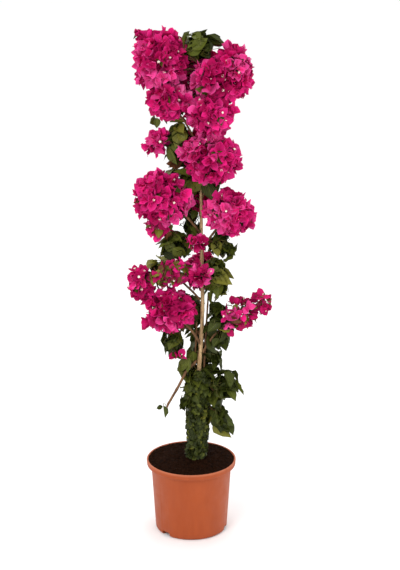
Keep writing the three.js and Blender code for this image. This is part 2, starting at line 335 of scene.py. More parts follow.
def blade_group():
    """Midrib, side veins, rim and blotches of a leaf or bract, read from the blade's own map. The rim
    colour makes a darker edge on leaves and a paler painted highlight on bracts.
    """
    group, given, result = new_group(
        "blade veins and blotches",
        {
            "colour": ["Colour", "Vein Colour", "Rim Colour"],
            "number": ["Vein Strength", "Side Veins", "Variation", "Blotches"],
        },
        {"colour": ["Colour"], "number": ["Height", "Roughness Shift"]},
    )
    want = given.outputs
    place = own_map(group)
    spread = vector_node(group, "SCALE", _0=place, Scale=TILES)
    inside = vector_node(group, "FRACTION", _0=spread)
    tile = vector_node(group, "FLOOR", _0=spread)
    axes = add_node(group, "SeparateXYZ", Vector=inside)
    aside = maths(group, "ABSOLUTE", maths(group, "SUBTRACT", axes.outputs[0], 0.5))
    midrib = ramp(group, aside, 0.012, 0.045, 1.0, 0.0)
    slant = maths(group, "MULTIPLY_ADD", aside, -0.85, axes.outputs[1])
    teeth = maths(group, "FRACT", maths(group, "MULTIPLY", slant, want["Side Veins"]))
    ridge = maths(group, "ABSOLUTE", maths(group, "SUBTRACT", teeth, 0.5))
    fading = ramp(group, aside, 0.30, 0.46, 0.75, 0.0)
    side = maths(group, "MULTIPLY", ramp(group, ridge, 0.05, 0.16, 1.0, 0.0), fading)
    veins = maths(group, "MAXIMUM", midrib, side)
    rim = ramp(group, aside, 0.37, 0.47, 0.0, 1.0)
    luck = add_node(group, "TexWhiteNoise", {"noise_dimensions": "3D"}, Vector=tile).outputs[0]
    blot = noise(group, spread, 2.6, 3.0)
    fine = noise(group, spread, 17.0, 2.0)

    light = swing(group, luck, want["Variation"], 1.0)
    patch = swing(group, blot, want["Blotches"], light)
    shade = vector_node(group, "SCALE", _0=want["Colour"], Scale=patch)
    # rim colour mixed in at the edges: a darker edge on leaves, a painted highlight on bracts
    with_rim_tint_and_highlight = mix(group, maths(group, "MULTIPLY", rim, 0.35), shade, want["Rim Colour"])
    vein_share = maths(group, "MULTIPLY", veins, want["Vein Strength"])
    feed(group, result.inputs["Colour"], mix(group, vein_share, with_rim_tint_and_highlight, want["Vein Colour"]))
    height = maths(group, "MULTIPLY_ADD", fine, 0.3, maths(group, "MULTIPLY", veins, -0.7))
    feed(group, result.inputs["Height"], height)
    feed(group, result.inputs["Roughness Shift"], maths(group, "MULTIPLY_ADD", blot, 0.16, -0.08))
    return group


def grain_group():
    """Two sizes of mottling over a surface, on given coordinates."""
    group, given, result = new_group(
        "mottled grain",
        {
            "vector": ["Vector"],
            "colour": ["Light Colour", "Dark Colour"],
            "number": ["Large Scale", "Fine Scale", "Contrast"],
        },
        {"colour": ["Colour"], "number": ["Height", "Mask"]},
    )
    want = given.outputs
    large = noise(group, want["Vector"], want["Large Scale"], 4.0)
    fine = noise(group, want["Vector"], want["Fine Scale"], 3.0)
    both = maths(group, "MULTIPLY_ADD", large, 0.6, maths(group, "MULTIPLY", fine, 0.4))
    middle = maths(group, "SUBTRACT", both, 0.5)
    mask = maths(group, "MULTIPLY_ADD", middle, want["Contrast"], 0.5, clamp=True)
    feed(group, result.inputs["Colour"], mix(group, mask, want["Dark Colour"], want["Light Colour"]))
    feed(group, result.inputs["Height"], both)
    feed(group, result.inputs["Mask"], mask)
    return group


BLADE = blade_group()
GRAIN = grain_group()


def new_material(name):
    material = bpy.data.materials.new(name)
    material.use_nodes = True
    tree = material.node_tree
    return material, tree, tree.nodes["Principled BSDF"]


def dress(tree, shader, colour, roughness, sheen=0.5):
    """Sets or links the colour, roughness and specular level of a material."""
    feed(tree, shader.inputs["Base Color"], colour)
    feed(tree, shader.inputs["Roughness"], roughness)
    shader.inputs["Specular IOR Level"].default_value = sheen


def add_bump(tree, shader, height, strength, distance):
    bump = add_node(tree, "Bump", Height=height, Strength=strength, Distance=distance)
    tree.links.new(bump.outputs[0], shader.inputs["Normal"])


def blade_material(name, colour, vein, rim, roughness, **amounts):
    """A leaf or bract of one tint. Thin, so both faces wear it."""
    material, tree, shader = new_material(name)
    values = {"Vein_Strength": 0.5, "Side_Veins": 9.0, "Variation": 0.5, "Blotches": 0.5, **amounts}
    colours = {"Colour": srgb(*colour), "Vein_Colour": srgb(*vein), "Rim_Colour": srgb(*rim)}
    blade = group_node(tree, BLADE, **colours, **values).outputs
    rough = maths(tree, "ADD", blade["Roughness Shift"], roughness, clamp=True)
    dress(tree, shader, blade["Colour"], rough, sheen=0.14)
    add_bump(tree, shader, blade["Height"], 0.5, 0.4 * MM)
    return material


def grain_material(
    name, light, dark, roughness, scales, contrast, bump, mapped=False, stretch=(1, 1, 1), sheen=0.2
):
    """Bark, compost or twig: mottled on the object's coordinates, or where mapped on its own map."""
    material, tree, shader = new_material(name)
    place = own_map(tree) if mapped else object_place(tree)
    turned = add_node(tree, "Mapping", Vector=place, Scale=stretch).outputs[0]
    grain = group_node(
        tree, GRAIN, Vector=turned, Light_Colour=srgb(*light), Dark_Colour=srgb(*dark),
        Large_Scale=scales[0], Fine_Scale=scales[1], Contrast=contrast,
    ).outputs
    rough = ramp(tree, grain["Mask"], 0, 1, roughness + 0.08, roughness - 0.08)
    dress(tree, shader, grain["Colour"], rough, sheen)
    add_bump(tree, shader, grain["Height"], bump, 1.0 * MM)
    return material


# --- materials

LEAF_COLOURS = {  # tint: (name, blade, veins, rim, roughness, strength of the veins)
    # shaded: a darker green for leaves deep inside a mass and for most of the sleeve, a painted shade
    "shaded": ("deep green leaf", (35, 42, 8), (84, 92, 40), (26, 30, 8), 0.45, 0.4),
    "dark": ("dark leaf", (50, 57, 16), (110, 118, 50), (38, 43, 12), 0.42, 0.42),
    "green": ("green leaf", (74, 80, 24), (128, 134, 62), (56, 60, 18), 0.44, 0.42),
    "olive": ("olive leaf", (100, 98, 34), (148, 142, 74), (80, 74, 26), 0.46, 0.4),
    "lime": ("young lime leaf", (114, 114, 40), (152, 148, 80), (102, 88, 36), 0.46, 0.5),
    "bronze": ("bronze shoot leaf", (104, 62, 40), (136, 96, 60), (84, 40, 30), 0.48, 0.5),
}
# Bract rims, in all but the faded tint, are paler than the blade: a painted highlight along the edges.
BRACT_COLOURS = {
    "deep": ("deep magenta bract", (180, 12, 89), (126, 6, 56), (186, 34, 102), 0.62, 0.35),
    "magenta": ("magenta bract", (211, 26, 116), (160, 12, 78), (232, 96, 166), 0.62, 0.34),
    "bright": ("bright pink bract", (224, 64, 142), (186, 30, 104), (240, 136, 188), 0.64, 0.34),
    "pale": ("pale pink bract", (232, 98, 162), (202, 54, 122), (240, 146, 190), 0.66, 0.34),
    "faded": ("faded brownish bract", (128, 36, 50), (92, 30, 30), (110, 56, 44), 0.7, 0.5),
}


def blade_materials(table, side_veins):
    return {
        tint: blade_material(*looks, Vein_Strength=strength, Side_Veins=side_veins)
        for tint, (*looks, strength) in table.items()
    }


LEAVES = blade_materials(LEAF_COLOURS, 9.0)
BRACTS = blade_materials(BRACT_COLOURS, 7.0)


def flower_material():
    """Cream stars whose tubes run down to a dull pink."""
    material, tree, shader = new_material("cream flower")
    place = own_map(tree)
    height = add_node(tree, "SeparateXYZ", Vector=place).outputs[1]
    mottle = ramp(tree, noise(tree, place, 14.0), 0.3, 0.7)
    tube = mix(tree, mottle, srgb(176, 70, 92), srgb(196, 128, 110))
    star = ramp(tree, height, 0.62, 0.78)
    dress(tree, shader, mix(tree, star, tube, srgb(250, 240, 222)), 0.55)
    return material


def pot_material():
    """Terracotta-coloured moulded plastic: faint flow marks, a paler band round the top of the rim and
    compost dust near it.
    """
    material, tree, shader = new_material("terracotta-coloured plastic")
    place = object_place(tree)
    streak = add_node(tree, "Mapping", Vector=place, Scale=(1, 1, 0.22)).outputs[0]
    flow = group_node(
        tree, GRAIN, Vector=streak, Light_Colour=srgb(166, 74, 27), Dark_Colour=srgb(149, 63, 21),
        Large_Scale=18.0, Fine_Scale=90.0, Contrast=2.4,
    )
    height = add_node(tree, "SeparateXYZ", Vector=place).outputs[2]
    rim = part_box("pot")[1].z
    scuff = noise(tree, place, 60.0, 5.0)

    def smear(under, colour, strength, zone, low, high):
        """A colour laid over a zone of height, where the scuffing runs between low and high."""
        where = maths(tree, "MULTIPLY", ramp(tree, height, *zone), ramp(tree, scuff, low, high))
        return mix(tree, maths(tree, "MULTIPLY", where, strength), under, srgb(*colour))

    # an even paler band over the top 5 mm of the rim, all the way round
    paler_rim_share = maths(tree, "MULTIPLY", ramp(tree, height, rim - 5 * MM, rim - 1 * MM), 0.42)
    paler_rim = mix(tree, paler_rim_share, flow.outputs["Colour"], srgb(200, 124, 92))
    dusty = smear(paler_rim, (120, 62, 38), 0.28, (rim - 26 * MM, rim - 2 * MM), 0.55, 0.7)
    muddy = smear(dusty, (112, 58, 38), 0.3, (14 * MM, 1 * MM), 0.4, 0.62)
    dress(tree, shader, muddy, ramp(tree, scuff, 0.3, 0.7, 0.46, 0.6), sheen=0.3)
    add_bump(tree, shader, noise(tree, place, 900.0), 0.16, 0.3 * MM)
    return material


BARK_GRAIN = {
    "roughness": 0.82, "scales": (190.0, 1300.0), "contrast": 3.0, "bump": 0.8, "stretch": (1, 1, 0.16)
}
SHOOT_GRAIN = {"scales": (5.0, 22.0), "stretch": (1, 4, 1), "mapped": True}
MATERIALS = {
    "pot": pot_material(),
    "compost": grain_material(
        "moist compost", (38, 18, 7), (10, 3, 1), 0.9, (130.0, 900.0), 3.4, 0.9, sheen=0.04
    ),
    "crumb": grain_material(
        "compost crumb", (50, 27, 13), (12, 5, 2), 0.88, (3.0, 14.0), 2.6, 0.6, mapped=True, sheen=0.05
    ),
    "bark": grain_material("tan bark", (216, 184, 138), (128, 92, 60), **BARK_GRAIN),
    "dark bark": grain_material("brown bark", (134, 98, 66), (62, 40, 28), **BARK_GRAIN),
    "twig": grain_material(
        "brown twig", (122, 84, 58), (64, 40, 28), 0.75, contrast=2.6, bump=0.5, **SHOOT_GRAIN
    ),
    "green shoot": grain_material(
        "green shoot", (104, 104, 50), (66, 58, 32), 0.6, contrast=2.4, bump=0.3, **SHOOT_GRAIN
    ),
    "flower": flower_material(),
}

# --- pot and compost

POT_SIDES = 96
POT_WALL = 2 * MM
POT_FLOOR = 3 * MM
POT_LIP = 13 * MM
RIM_ROLL = 1.9 * MM
NECK, HEEL, FOOT = 0.897, 0.804, 0.753  # radii as shares of the rim's
NOTCH_BEARINGS = (-45, 75, 195)
NOTCH_WIDTH, NOTCH_HEIGHT, NOTCH_DEPTH = 22 * MM, 10 * MM, 12 * MM


def turned_profile(profile):
    """Pulls the selected disc up or down through each (radius, height) of a profile, as on a lathe."""
    for (radius, height), (next_radius, next_height) in zip(profile, profile[1:]):
        swell = next_radius / radius
        pull_on((0, 0, next_height - height), (swell, swell, 1), (0, 0, next_height))


def rounded(centre, radius, start, end, steps):
    """Points of an arc in the profile's own plane; angles in degrees from straight out."""
    angles = [math.radians(start + (end - start) * i / steps) for i in range(steps + 1)]
    return [(centre[0] + radius * math.cos(a), centre[1] + radius * math.sin(a)) for a in angles]


def make_pot():
    low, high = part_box("pot")
    rim, top = (high.x - low.x) / 2, high.z
    neck, heel, foot = NECK * rim, HEEL * rim, FOOT * rim
    lip_foot = top - POT_LIP
    profile = [
        (foot, 0),
        *rounded((heel - 5 * MM, 6 * MM), 5.2 * MM, -58, -6, 4),
        (neck - 0.2 * MM, lip_foot - 2.4 * MM),
        (neck + 0.8 * MM, lip_foot),
        *rounded((rim - 3.4 * MM, lip_foot + 2.8 * MM), 2.8 * MM, -84, -10, 4),
        *rounded((rim - RIM_ROLL, top - RIM_ROLL), RIM_ROLL, 6, 150, 7),
        (rim - 4.0 * MM, lip_foot + 3 * MM),
        (neck - POT_WALL, lip_foot - 2 * MM),
        (heel - 2 * POT_WALL, POT_FLOOR + 3 * MM),
        (heel - 3.4 * POT_WALL, POT_FLOOR),
    ]
    start_fresh()
    bpy.ops.mesh.primitive_circle_add(vertices=POT_SIDES, radius=foot, fill_type="NGON")
    piece = begin("pot_shell")
    turned_profile(profile)
    finish_shape()
    for bearing in NOTCH_BEARINGS:
        cut_notch(piece, math.radians(bearing), foot)
    start_fresh()
    piece.select_set(True)
    bpy.context.view_layer.objects.active = piece
    edges = {"limit_method": "ANGLE", "angle_limit": math.radians(50)}
    apply_modifier(piece, "BEVEL", width=0.5 * MM, segments=2, **edges)
    smooth_up_to(38)
    wear(piece, MATERIALS["pot"], "pot", "pot")


def cut_notch(piece, bearing, foot):
    """A low rounded arch bitten out of the heel, for drainage."""
    reach = NOTCH_DEPTH + 10 * MM
    middle = foot - NOTCH_DEPTH + reach / 2
    start_fresh()
    bpy.ops.mesh.primitive_cube_add(
        size=1,
        location=(middle * math.sin(bearing), -middle * math.cos(bearing), 0),
        rotation=(0, 0, bearing),
        scale=(NOTCH_WIDTH, reach, 2 * NOTCH_HEIGHT),
    )
    cutter = bpy.context.active_object
    bpy.ops.object.transform_apply(location=False, rotation=False, scale=True)
    apply_modifier(cutter, "BEVEL", width=4.5 * MM, segments=4, limit_method="ANGLE")
    bpy.context.view_layer.objects.active = piece
    apply_modifier(piece, "BOOLEAN", operation="DIFFERENCE", object=cutter, solver="EXACT")
    bpy.data.objects.remove(cutter)


SOIL_RINGS, SOIL_SIDES = 26, 120
SOIL_DOME = 4 * MM
SOIL_RELIEF = (("clods", 9 * MM, 3.4 * MM), ("crumbs", 2.6 * MM, 1.8 * MM))  # name, size, height


def make_soil():
    low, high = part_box("soil")
    edge = (high.x - low.x) / 2
    lip_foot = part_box("pot")[1].z - POT_LIP
    wall = [(0.8 * edge, low.z), (0.9 * edge, lip_foot - 2 * MM), (0.985 * edge, lip_foot + 5 * MM)]
    shares = [1 - ring / SOIL_RINGS for ring in range(SOIL_RINGS)]
    dome = [(edge * share, high.z - SOIL_DOME * share**2) for share in shares]
    start_fresh()
    bpy.ops.mesh.primitive_circle_add(
        vertices=SOIL_SIDES, radius=wall[0][0], fill_type="NGON", location=(0, 0, low.z)
    )
    piece = begin("soil_bed")
    turned_profile(wall + dome)
    finish_shape()
    surface = [v.index for v in piece.data.vertices if v.co.z > high.z - 5 * MM]
    piece.vertex_groups.new(name="surface").add(surface, 1.0, "REPLACE")
    for name, size, height in SOIL_RELIEF:
        apply_modifier(
            piece, "DISPLACE", texture=cloud_texture(name, size), strength=height, mid_level=0.56,
            direction="Z", vertex_group="surface", texture_coords="LOCAL",
        )
    smooth_up_to(60)
    return wear(piece, MATERIALS["compost"], "soil", "soil")


# --- limbs

SCAR_EVERY = 6  # rings of the limb between leaf scars
THINNEST_LIMB = 0.5 * MM


def make_limb(node, sides, relief, bark):
    """A limb pulled up ring by ring along its solid's centre line, with leaf-scar rings and bark relief."""
    centres, radii = limb_line(node, 6 * MM)
    rng = node_rng(node)
    upright = Vector(unit(centres[-1] - centres[0])).to_track_quat("Z", "Y").to_euler()
    start_fresh()
    bpy.ops.mesh.primitive_circle_add(
        vertices=sides, radius=radii[0], fill_type="NGON", location=centres[0], rotation=upright
    )
    piece = begin(node + "_bark")
    bpy.ops.mesh.select_all(action="SELECT")
    scars = set(range(5, len(centres) - 2, SCAR_EVERY))
    size = radii[0]
    for i in range(1, len(centres)):
        target = max(radii[i], THINNEST_LIMB) * (1.1 if i in scars else rng.uniform(0.97, 1.03))
        pull_on(centres[i] - centres[i - 1], (target / size,) * 3, centres[i])
        size = target
    finish_shape()
    bpy.ops.object.mode_set(mode="EDIT")
    bpy.ops.mesh.select_all(action="SELECT")
    bpy.ops.mesh.subdivide(number_cuts=1, smoothness=0.5)
    bpy.ops.object.mode_set(mode="OBJECT")
    guide = add_object("grain guide", None)
    guide.rotation_euler = upright
    guide.scale = (1, 1, 6)
    bpy.context.view_layer.update()
    apply_modifier(
        piece, "DISPLACE", texture=cloud_texture("bark ridges", 2.4 * MM), strength=relief, mid_level=0.5,
        texture_coords="OBJECT", texture_coords_object=guide,
    )
    bpy.data.objects.remove(guide)
    smooth_up_to(70)
    wear(piece, MATERIALS[bark], "bark", node)


# --- blades and flowers, modelled once


def take_shape(piece):
    """Points, faces and map of a finished pattern piece, which is then put away."""
    mesh = piece.data
    layer = mesh.uv_layers.active.data
    shape = {
        "points": np.array([v.co for v in mesh.vertices]),
        "faces": [tuple(p.vertices) for p in mesh.polygons],
        "maps": [[tuple(layer[i].uv) for i in p.loop_indices] for p in mesh.polygons],
    }
    bpy.data.objects.remove(piece)
    bpy.data.meshes.remove(mesh)
    return shape


def make_blade(outline, width, lift, droop, wave, twist=0.0, columns=4):
    """A leaf or bract a unit long, along +Y with its upper side up.

    outline gives (share of length, share of width) for each row. lift raises the margins into a trough,
    droop bends the tip down, wave ruffles the margins and twist turns the tip to one side.
    """
    rows = len(outline) - 1
    apart = 2.0  # keeps the rows already moved clear of those still to come
    start_fresh()
    bpy.ops.mesh.primitive_grid_add(x_subdivisions=columns, y_subdivisions=rows, size=1)
    piece = begin("blade")
    for column in range(columns + 1):
        across = column / columns - 0.5
        pick(piece, lambda co: abs(co.x - across) < 1e-4)
        bpy.ops.transform.translate(value=(0, 0, lift * abs(2 * across) ** 1.5))
    for row, (share, spread) in enumerate(outline):
        start = row / rows - 0.5
        pick(piece, lambda co: abs(co.y - start) < 1e-4)
        bpy.ops.transform.resize(value=(spread * width, 1, spread * width), center_override=(0, start, 0))
        aside, ahead, down = twist * width * share**2, share - start + apart, droop * share**2
        bpy.ops.transform.translate(value=(aside, ahead, -down))
    for row, (share, spread) in enumerate(outline):
        for sign in (-1, 1):
            edge = sign * spread * width * 0.5 + twist * width * share**2
            pick(
                piece,
                lambda co: spread > 0.3 and abs(co.y - share - apart) < 1e-5 and abs(co.x - edge) < 1e-5,
            )
            ruffle = wave * width * (1 if (row + (sign > 0)) % 2 else -1)
            bpy.ops.transform.translate(value=(0, 0, ruffle))
    bpy.ops.mesh.select_all(action="SELECT")
    bpy.ops.transform.translate(value=(0, -apart, 0))
    bpy.ops.mesh.remove_doubles(threshold=SAME_PLACE)
    bpy.ops.object.mode_set(mode="OBJECT")
    return take_shape(piece)


LEAF_OUTLINE = [
    (0, 0.06), (0.07, 0.46), (0.2, 0.86), (0.38, 1.0), (0.57, 0.86), (0.75, 0.56), (0.9, 0.22), (1.0, 0.0)
]
BRACT_OUTLINE = [(0, 0.1), (0.12, 0.62), (0.32, 0.98), (0.55, 1.0), (0.75, 0.74), (0.92, 0.27), (1.0, 0.0)]
SMALL_OUTLINE = [(0, 0.1), (0.25, 0.85), (0.6, 0.85), (1.0, 0.0)]

LEAF_SHAPES = [
    make_blade(LEAF_OUTLINE, 0.72, 0.16, 0.10, 0.025),
    make_blade(LEAF_OUTLINE, 0.68, 0.26, 0.22, 0.04, twist=0.10),
    make_blade(LEAF_OUTLINE, 0.76, 0.08, 0.30, 0.05, twist=-0.08),
    make_blade(LEAF_OUTLINE, 0.66, 0.34, -0.05, 0.03, twist=0.05),
]
BRACT_SHAPES = [
    make_blade(BRACT_OUTLINE, 0.78, 0.22, -0.16, 0.05),
    make_blade(BRACT_OUTLINE, 0.74, 0.12, 0.14, 0.08, twist=0.10),
    make_blade(BRACT_OUTLINE, 0.82, 0.34, -0.28, 0.06, twist=-0.08),
    make_blade(BRACT_OUTLINE, 0.76, 0.05, 0.26, 0.10, twist=0.06),
]
SMALL_SHAPES = [
    make_blade(SMALL_OUTLINE, 0.70, 0.25, 0.12, 0.03, columns=2),
    make_blade(SMALL_OUTLINE, 0.62, 0.10, 0.28, 0.06, columns=2),
]


def make_flower(open_star):
    """One true flower, a unit long, along +Y: a five-sided tube that ends in a star, or a closed bud."""
    start_fresh()
    bpy.ops.mesh.primitive_circle_add(
        vertices=5, radius=0.05, fill_type="NGON", rotation=(-math.pi / 2, 0, 0)
    )
    piece = begin("flower")
    flare = 3.4 if open_star else 0.25
    at = 0.0
    for rise, swell in ((0.30, 1.7), (0.35, 0.75), (0.22, 1.15), (0.10, flare)):
        at += rise
        pull_on((0, rise, 0), (swell,) * 3, (0, at, 0))
    if open_star:
        bpy.ops.mesh.poke(offset=-0.08)
        pick(piece, lambda co: abs(co.y - at) < 0.02 and math.hypot(co.x, co.z) > 0.1)
        bpy.ops.mesh.subdivide(number_cuts=1)
        radius = max(math.hypot(v.co.x, v.co.z) for v in bmesh.from_edit_mesh(piece.data).verts)
        pick(piece, lambda co: abs(co.y - at) < 0.02 and 0.1 < math.hypot(co.x, co.z) < 0.9 * radius)
        bpy.ops.transform.resize(value=(0.66, 1, 0.66), center_override=(0, at, 0))
    finish_shape()
    layer = piece.data.uv_layers.active or piece.data.uv_layers.new(name="along")
    for polygon in piece.data.polygons:
        for loop in polygon.loop_indices:
            place = piece.data.vertices[piece.data.loops[loop].vertex_index].co
            layer.data[loop].uv = (0.5 + place.x, min(max(place.y, 0.02), 0.98) * 0.98)
    return take_shape(piece)


OPEN_FLOWER, CLOSED_FLOWER = 0, 1
FLOWER_SHAPES = [make_flower(True), make_flower(False)]

# --- joined meshes


def new_piece(name, points, faces, maps):
    """A smooth-shaded piece from its points, faces and one map for all its corners."""
    mesh = bpy.data.meshes.new(name)
    mesh.from_pydata(points, [], faces)
    mesh.uv_layers.new(name=BLADE_MAP).data.foreach_set("uv", np.concatenate(maps))
    mesh.shade_smooth()
    return add_object(name, mesh)


def joined(name, shapes, places, whole_map=False):
    """One mesh of many copies. places holds (shape number, position, 3 by 3 turn with scale, tile)."""
    points, faces, maps = [], [], []
    offset = 0
    for number, shape in enumerate(shapes):
        chosen = [place for place in places if place[0] == number]
        if not chosen:
            continue
        spots, turns, tiles = (np.array([place[i] for place in chosen]) for i in (1, 2, 3))
        moved = np.einsum("nij,vj->nvi", turns, shape["points"]) + spots[:, None, :]
        size = len(shape["points"])
        starts = offset + size * np.arange(len(chosen))
        corner = np.stack([tiles % TILES, tiles // TILES], axis=1)[:, None, :] + TILE_EDGE
        for face, face_map in zip(shape["faces"], shape["maps"]):
            faces += (np.array(face)[None, :] + starts[:, None]).tolist()
            own = np.repeat(np.array(face_map)[None], len(chosen), axis=0)
            maps.append((own if whole_map else (corner + own * (1 - 2 * TILE_EDGE)) / TILES).reshape(-1))
        points.append(moved.reshape(-1, 3))
        offset += size * len(chosen)
    return new_piece(name, np.concatenate(points), faces, maps)


def tube_pattern(sides, spans):
    """Faces of one closed tube and their maps."""
    faces, maps = [], []
    for level in range(spans):
        for side in range(sides):
            here, there = level * sides, (level + 1) * sides
            beside = (side + 1) % sides
            faces.append((here + side, here + beside, there + beside, there + side))
            u, v = side / sides, level / spans
            right, up = u + 1 / sides, v + 1 / spans
            maps.append(((u, v), (right, v), (right, up), (u, up)))
    angles = [2 * math.pi * side / sides for side in range(sides)]
    cap_map = tuple((0.5 + 0.1 * math.cos(angle), 0.5 + 0.1 * math.sin(angle)) for angle in angles)
    caps = [tuple(reversed(range(sides))), tuple(range(spans * sides, (spans + 1) * sides))]
    return faces + caps, maps + [cap_map, cap_map]


def tubes(name, shoots, sides, spans):
    """One mesh of closed tapering tubes. A shoot is (start, bend, end, start radius, end radius)."""
    start, bend, end = (np.array([shoot[i] for shoot in shoots])[:, None, :] for i in range(3))
    thick, thin = (np.array([shoot[i] for shoot in shoots])[:, None] for i in (3, 4))
    t = np.linspace(0, 1, spans + 1)[None, :, None]
    middle = (1 - t) ** 2 * start + 2 * t * (1 - t) * bend + t**2 * end
    heading = 2 * (1 - t) * (bend - start) + 2 * t * (end - bend)
    heading /= lengths(heading)[..., None] + 1e-12
    chord = (end - start)[:, 0]
    level = np.abs(chord[:, 2:3]) < 0.8 * lengths(chord)[:, None]
    helper = np.where(level, [[0, 0, 1.0]], [[1.0, 0, 0]])
    across = np.cross(heading, np.cross(chord, helper)[:, None, :])
    across /= lengths(across)[..., None] + 1e-12
    other = np.cross(heading, across)
    radius = (thick * (1 - t[:, :, 0]) + thin * t[:, :, 0])[:, :, None, None]
    angle = np.linspace(0, 2 * math.pi, sides, endpoint=False)[None, None, :, None]
    spokes = np.cos(angle) * across[:, :, None, :] + np.sin(angle) * other[:, :, None, :]
    ring = middle[:, :, None, :] + radius * spokes
    starts = (spans + 1) * sides * np.arange(len(shoots))
    faces, maps = [], []
    for face, face_map in zip(*tube_pattern(sides, spans)):
        faces += (np.array(face)[None, :] + starts[:, None]).tolist()
        maps.append(np.repeat(np.array(face_map)[None], len(shoots), axis=0).reshape(-1))
    return new_piece(name, ring.reshape(-1, 3), faces, maps)


def square_to(axis, vector):
    """The part of a vector that stands square to a unit axis, as a direction."""
    return unit(vector - np.dot(vector, axis) * axis)


def turn_of(along, facing, size):
    """The turn and scale that lay a blade along one direction with its upper side to another."""
    y = unit(along)
    z = square_to(y, facing)
    return np.stack([np.cross(y, z), y, z], axis=1) * size


# --- growth

SHOOT_RADIUS = 0.5 * MM  # of the last shoot, under one leaf or flower group
THICKEST_SHOOT = 2.0 * MM
SHORTEST_SHOOT = 6 * MM
places = {}  # kind of blade or flower -> its places
brown_shoots, green_shoots = [], []


def put(kind, shapes, spot, along, facing, size, rng):
    """Places one blade, unless a limb would pass through it; returns whether it is placed."""
    pattern, tile = int(rng.integers(len(shapes))), int(rng.integers(TILES * TILES))
    turn = turn_of(along, facing, size)
    if cut_by_limb(shapes[pattern]["points"] @ turn.T + spot):
        return False
    places.setdefault(kind, []).append((pattern, spot, turn, tile))
    return True


def shoot_radius(carried):
    return min(SHOOT_RADIUS * carried**0.36, THICKEST_SHOOT)


def by_spread(seats):
    """The order of some seats along the line they are most spread out on."""
    away = seats - seats.mean(0)
    return np.argsort(away @ np.linalg.svd(away, full_matrices=False)[2][0])


def grow(start, heading, seats, arrivals, rng):
    """The branching rule: a shoot runs part of the way to the middle of what it must carry, forks in two
    across the longest spread, and so on until each shoot carries one leaf or one flower group."""
    count = len(seats)
    reach = seats.mean(0) - start
    distance = np.linalg.norm(reach)
    if count == 1:
        bend = seats[0] - unit(arrivals[0] + unit(reach)) * min(0.4 * distance, 6 * MM)
        green_shoots.append((start, bend, seats[0], SHOOT_RADIUS, 0.8 * SHOOT_RADIUS))
        return
    fork = start
    if distance > SHORTEST_SHOOT:
        fork = start + reach * rng.uniform(0.35, 0.5) + rng.normal(0, 0.05, 3) * distance
        bend = start + heading * np.linalg.norm(fork - start) * 0.45
        shoot = (start, bend, fork, shoot_radius(count), shoot_radius(count * 0.6))
        (brown_shoots if count > 2 else green_shoots).append(shoot)
        heading = unit(fork - start)
    order = by_spread(seats)
    cut = int(np.clip(round(count * rng.uniform(0.36, 0.64)), 1, count - 1))
    for part in (order[:cut], order[cut:]):
        toward = unit(unit(seats[part].mean(0) - fork) + 0.4 * heading)
        grow(fork, toward, seats[part], arrivals[part], rng)


LIMB_LINES = [limb_line(node, 8 * MM)[0] for node in LIMBS]
LIMB_SPOTS = np.concatenate(LIMB_LINES)
LIMB_HEADINGS = np.concatenate([np.gradient(line, axis=0) for line in LIMB_LINES])
SPRINGS_BELOW = 12 * MM  # how far under its mass a shoot leaves the limb


def grow_mass(tips, rng, carried=45):
    """Shares a mass's tips between shoots, each from the nearest place on a limb a little lower down.

    A tip is the seat of a leaf or flower group and the direction in which its shoot arrives there.
    """
    seats, arrivals = (np.array(values) for values in zip(*tips))
    parts = [np.arange(len(seats))]
    while max(len(part) for part in parts) > carried:
        part = max(parts, key=len)
        parts = [other for other in parts if other is not part]
        order = part[by_spread(seats[part])]
        parts += [order[: len(order) // 2], order[len(order) // 2 :]]
    for part in parts:
        middle = seats[part].mean(0)
        gap = LIMB_SPOTS - (middle - UP * SPRINGS_BELOW)
        nearest = np.argmin(lengths(gap))
        heading = unit(unit(LIMB_HEADINGS[nearest]) + unit(middle - LIMB_SPOTS[nearest]))
        grow(LIMB_SPOTS[nearest], heading, seats[part], arrivals[part], rng)


def sprays(spots, count, rng, tints, weights):
    """Deals tints out by spray: each spot takes the tint of the nearest of a few random spots."""
    heads = spots[rng.choice(len(spots), size=min(count, len(spots)), replace=False)]
    dealt = rng.choice(tints, size=len(heads), p=np.array(weights) / sum(weights))
    return dealt[np.argmin(lengths(spots[:, None] - heads[None]), axis=1)]


# --- flower heads

BRACT_LENGTH = 22.5 * MM
FLOWER_LENGTH = 14 * MM
LOOSE_BLOOMS = ("bloom_spray", "bloom_spray_tip", "bloom_left_tuft", "bloom_band_left", "bloom_low_tuft")
LEAFY_BLOOMS = {  # flower masses with leaves among them, and how far apart those leaves are
    "bloom_band_left": 15 * MM,
    "bloom_spray": 23 * MM,
    "bloom_left_tuft": 21 * MM,
    "bloom_spray_tip": 30 * MM,
}
BRACT_TINTS = ["deep", "magenta", "bright", "pale", "faded"]
FULL_MIX, LOOSE_MIX = [0.28, 0.46, 0.22, 0.03, 0.01], [0.5, 0.36, 0.06, 0.0, 0.08]


def bract_group(seat, axis, tint, size, rng, flowers):
    """Three bracts round one axis, upper sides inwards, with a true flower or none between them."""
    side = unit(np.cross(axis, rng.normal(size=3)))
    other = np.cross(axis, side)
    turn = rng.uniform(0, 2 * math.pi)
    opening = rng.normal(50, 9)
    for third in range(3):
        angle = turn + third * 2 * math.pi / 3 + rng.normal(0, 0.14)
        outward = math.cos(angle) * side + math.sin(angle) * other
        lean = math.radians(np.clip(opening + rng.normal(0, 9), 22, 82))
        along = axis * math.cos(lean) + outward * math.sin(lean)
        facing = axis * math.sin(lean) - outward * math.cos(lean)
        length = size * rng.uniform(0.86, 1.1)
        put(tint + "_bracts", BRACT_SHAPES, seat + along * 1.5 * MM, along, facing, length, rng)
    for _ in range(flowers):
        tilt = unit(axis + 0.22 * rng.normal(size=3))
        pattern = OPEN_FLOWER if rng.random() < 0.55 else CLOSED_FLOWER
        turned = turn_of(tilt, side, FLOWER_LENGTH * rng.uniform(0.85, 1.05))
        places.setdefault("cream_flowers", []).append((pattern, seat, turned, 0))


